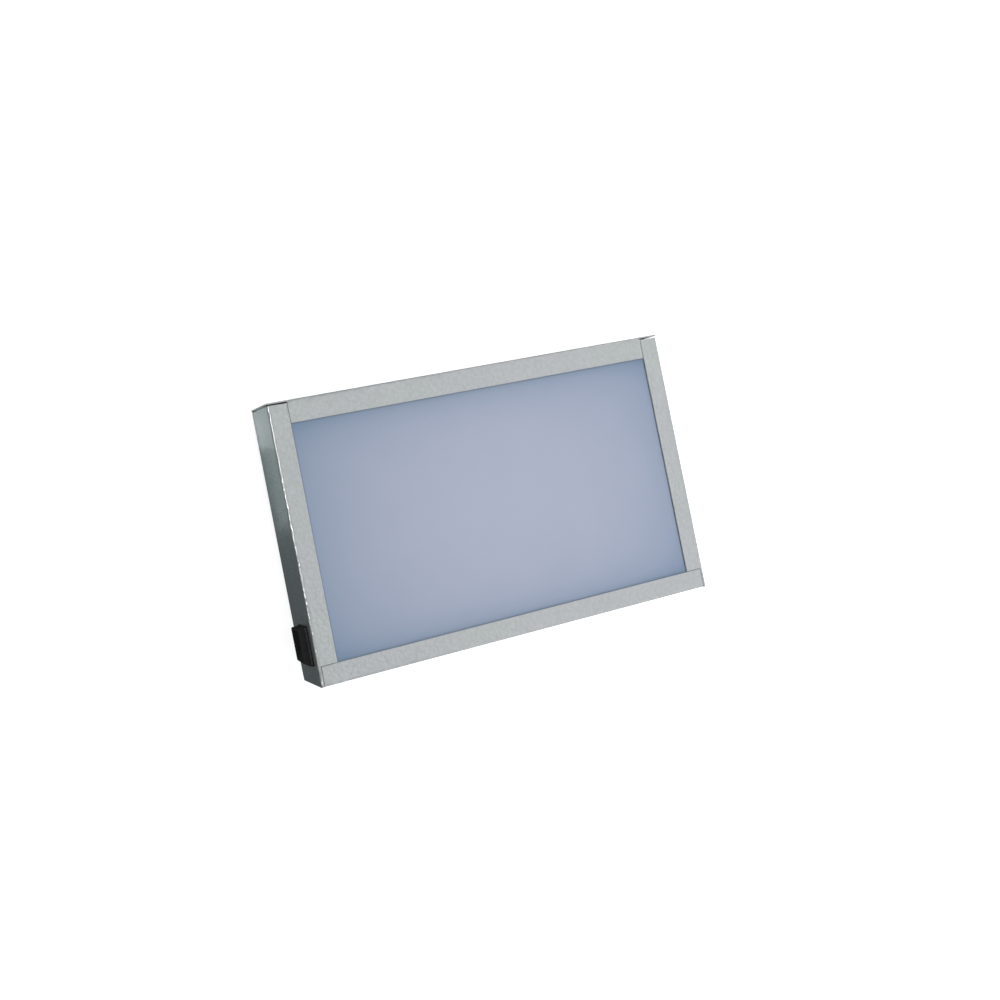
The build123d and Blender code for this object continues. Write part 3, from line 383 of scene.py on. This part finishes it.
DULL = {"Specular_IOR_Level": 0.14}  # for black plastic that hardly shines
MATERIALS = {
    "housing_paint": hammer_paint("housing_paint", (0.50, 0.53, 0.525), (0.40, 0.43, 0.43), 0.38),
    # the sheets' rounded edges, lighter than the housing paint: partly worn paint, partly a painted
    # highlight
    "edge_wear_and_highlight": hammer_paint("edge_wear_and_highlight", (0.58, 0.60, 0.60), (0.46, 0.48, 0.48), 0.30),
    "zinc_steel": plated("zinc_steel", (0.62, 0.63, 0.63), 0.30, tint=(1.04, 1.0, 0.90)),
    "foot_rubber": moulded("foot_rubber", (0.022, 0.022, 0.023), 0.78, 1500.0, 0.00004),
    "opal_acrylic": opal_acrylic(),
    "gasket_foam": foam(),
    "reflector_white": enamel("reflector_white", (0.86, 0.86, 0.84), 0.28),
    "holder_plastic": moulded("holder_plastic", (0.80, 0.80, 0.76), 0.38, lift=0.93),
    "rotor_plastic": moulded("rotor_plastic", (0.72, 0.72, 0.68), 0.40, lift=0.92),
    "lamp_glass": phosphor_glass(),
    "cap_aluminium": plated("cap_aluminium", (0.80, 0.81, 0.82), 0.26, (1.0, 8.0, 8.0)),
    "contact_brass": plated("contact_brass", (0.78, 0.60, 0.30), 0.28),
    "ballast_case": enamel("ballast_case", (0.78, 0.78, 0.76), 0.35),
    "circuit_board": circuit_board(),
    "component_body": moulded("component_body", (0.035, 0.034, 0.04), 0.45),
    "terminal_plastic": moulded("terminal_plastic", (0.50, 0.51, 0.50), 0.42, lift=0.9),
    "switch_plastic": moulded("switch_plastic", (0.006, 0.006, 0.0065), 0.6, 2100.0, 0.00003, **DULL),
    "rocker_plastic": moulded("rocker_plastic", (0.006, 0.006, 0.0065), 0.5, 3600.0, 0.00001, **DULL),
    "inlet_plastic": moulded("inlet_plastic", (0.014, 0.014, 0.015), 0.44),
    "receptacle_plastic": moulded("receptacle_plastic", (0.66, 0.65, 0.60), 0.35, lift=0.9),
    "wire_brown": insulation("wire_brown", (0.13, 0.045, 0.02)),
    "wire_blue": insulation("wire_blue", (0.02, 0.10, 0.40)),
    "wire_green_yellow": insulation("wire_green_yellow", (0.06, 0.30, 0.04), (0.75, 0.60, 0.03)),
    "wire_white": insulation("wire_white", (0.72, 0.72, 0.69)),
    "clip_plastic": moulded("clip_plastic", (0.72, 0.71, 0.66), 0.46, lift=0.92),
}


# ======================================================================================
# Pieces
# ======================================================================================
def paint_nodes():
    """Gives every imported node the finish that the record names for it."""
    for part in SUBPARTS:
        mesh = NODES[part["node"]].data
        mesh.materials.clear()
        mesh.materials.append(MATERIALS[part["material_slot"]])


def body_of(node):
    return next(body for body, members in BODIES.items() if node in members)


def slot_of(node):
    return next(part["material_slot"] for part in SUBPARTS if part["node"] == node)


def cleaned_mesh(node, name):
    """A copy of a node's mesh, welded, with the triangles of each flat face joined."""
    mesh = bpy.data.meshes.new(name)
    shape = bmesh.new()
    shape.from_mesh(NODES[node].data)
    bmesh.ops.remove_doubles(shape, verts=shape.verts, dist=WELD_WITHIN)
    bmesh.ops.dissolve_limit(
        shape,
        angle_limit=FLAT_WITHIN,
        verts=shape.verts,
        edges=shape.edges,
        delimit={"NORMAL"},
    )
    shape.to_mesh(mesh)
    shape.free()
    for polygon in mesh.polygons:
        polygon.use_smooth = True
    return mesh


def detailed(node, name, edge, edge_material=None):
    """A copy of a node with its sharp edges rounded, which stands for that node."""
    mesh = cleaned_mesh(node, name)
    mesh.materials.append(MATERIALS[slot_of(node)])
    piece = bpy.data.objects.new(name, mesh)
    bpy.context.scene.collection.objects.link(piece)
    round_edges = piece.modifiers.new("rounded_edges", "BEVEL")
    round_edges.width = edge
    round_edges.segments = EDGE_SEGMENTS
    round_edges.limit_method = "ANGLE"
    round_edges.angle_limit = SHARP_EDGE
    round_edges.use_clamp_overlap = True
    if edge_material is not None:
        mesh.materials.append(MATERIALS[edge_material])
        round_edges.material = 1
    flat_faces = piece.modifiers.new("flat_faces_stay_flat", "WEIGHTED_NORMAL")
    flat_faces.mode = "FACE_AREA"
    flat_faces.weight = FULL_AREA_WEIGHT
    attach(piece, body_of(node))
    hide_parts(node)


def sheet_metal():
    """The painted sheets, whose rounded edges are a little brighter: partly rubbed paint and partly a
    painted highlight.
    """
    for node in PAINTED_SHEETS:
        detailed(node, f"{node}_painted", SHEET_EDGE, "edge_wear_and_highlight")


def small_parts():
    for node, edge in SHAPED_PARTS.items():
        detailed(node, f"{node}_shaped", edge)
    for end in ("near", "far"):
        for side in ("left", "right"):
            detailed(f"foot_{end}_{side}", f"foot_{end}_{side}_shaped", FOOT_EDGE)


# ======================================================================================
# Floor, light and camera
# ======================================================================================
def flat_material(name, colour, glow):
    """Matt paper that gives off some white light of its own."""
    s = Shader(name, colour, 0.9)
    s.set(s.bsdf, "Specular IOR Level", 0.0)
    s.set(s.bsdf, "Emission Color", (1.0, 1.0, 1.0, 1.0))
    s.set(s.bsdf, "Emission Strength", glow)
    return s.material


def studio_backdrop():
    """A floor and a white sphere round everything, which only the camera sees."""
    bpy.ops.mesh.primitive_circle_add(
        vertices=96, radius=BACKDROP_R, fill_type="NGON", location=(0, 0, -FLOOR_DOWN)
    )
    floor = bpy.context.object
    floor.name = "studio_floor"
    floor.data.materials.append(flat_material("floor_paper", FLOOR_GREY, FLOOR_GLOW))
    bpy.ops.mesh.primitive_uv_sphere_add(segments=64, ring_count=32, radius=BACKDROP_R)
    backdrop = bpy.context.object
    backdrop.name = "studio_backdrop"
    backdrop.data.materials.append(flat_material("backdrop_paper", (0.0, 0.0, 0.0), 1.0))
    backdrop.visible_shadow = False
    for stage_piece in (floor, backdrop):
        stage_piece.visible_diffuse = False
        stage_piece.visible_glossy = False
        stage_piece.visible_transmission = False


def area_light(name, at, aim, size, power, colour=(1.0, 1.0, 1.0)):
    """A rectangular light of that many watts, which points at a place and isn't seen itself."""
    data = bpy.data.lights.new(name, "AREA")
    data.shape = "RECTANGLE"
    data.size, data.size_y = size
    data.energy = power
    data.color = colour
    light = bpy.data.objects.new(name, data)
    bpy.context.scene.collection.objects.link(light)
    light.location = at
    light.rotation_mode = "QUATERNION"
    light.rotation_quaternion = (Vector(aim) - Vector(at)).to_track_quat("-Z", "Y")
    light.visible_camera = False
    return light


def table_light(name, out, from_far_end, size, power, colour=(1.0, 1.0, 1.0)):
    """Stands for a pale sheet on the table, out from the left wall, that throws light up it."""
    at = Vector((LEFT_WALL_X - out, FAR_WALL_Y - from_far_end, TABLE_LIGHT_UP))
    return area_light(name, at, at + Vector((0.0, 0.0, 1.0)), size, power, colour)


def studio_light():
    area_light("overhead", (0.70, 0.0, 2.4), (0.0, 0.0, 0.0), (2.4, 2.4), 38.0)
    area_light("far_fill", (1.2, 1.6, 0.8), BOX_MIDDLE, (1.0, 1.0), 17.0)
    area_light("near_fill", (0.9, -1.8, 0.8), BOX_MIDDLE, (1.0, 1.0), 19.0)
    # a strip that only shows as the highlight along the left bend
    bend = (LEFT_WALL_X, 0.06, FRAME_TOP - 0.002)
    strip = area_light("bend_strip", (-1.0, 0.15, 0.62), bend, (0.5, 0.22), 28.0)
    strip.visible_diffuse = False
    table_light("table_far", 0.035, 0.0075, (0.06, 0.05), 0.0066, TABLE_TINT)
    # this one only glints on the dimples at the far end of the left wall
    glint = table_light("table_glint", 0.013, 0.0145, (0.016, 0.03), 0.012)
    glint.visible_diffuse = False
    table_light("table_mid", 0.045, 0.0505, (0.07, 0.10), 0.0140, TABLE_TINT)


def studio_world():
    world = bpy.data.worlds.new("studio")
    bpy.context.scene.world = world
    world.use_nodes = True
    background = world.node_tree.nodes["Background"]
    background.inputs["Color"].default_value = (*WORLD_TINT, 1.0)
    background.inputs["Strength"].default_value = WORLD_GLOW


def studio_camera():
    data = bpy.data.cameras.new("camera")
    data.lens = LENS_MM
    data.sensor_width = SENSOR_MM
    data.shift_y = CAMERA_SHIFT_Y
    data.clip_start, data.clip_end = CAMERA_CLIP
    camera = bpy.data.objects.new("camera", data)
    bpy.context.scene.collection.objects.link(camera)
    back = CAMERA_BACK.normalized()
    right = CAMERA_UP.cross(back).normalized()
    up = back.cross(right)
    turned = Matrix((right, up, back)).transposed().to_4x4()
    camera.matrix_world = Matrix.Translation(CAMERA_AT) @ turned
    bpy.context.scene.camera = camera


paint_nodes()
sheet_metal()
small_parts()
studio_backdrop()
studio_light()
studio_world()
studio_camera()
bpy.context.scene.view_settings.view_transform = "Standard"
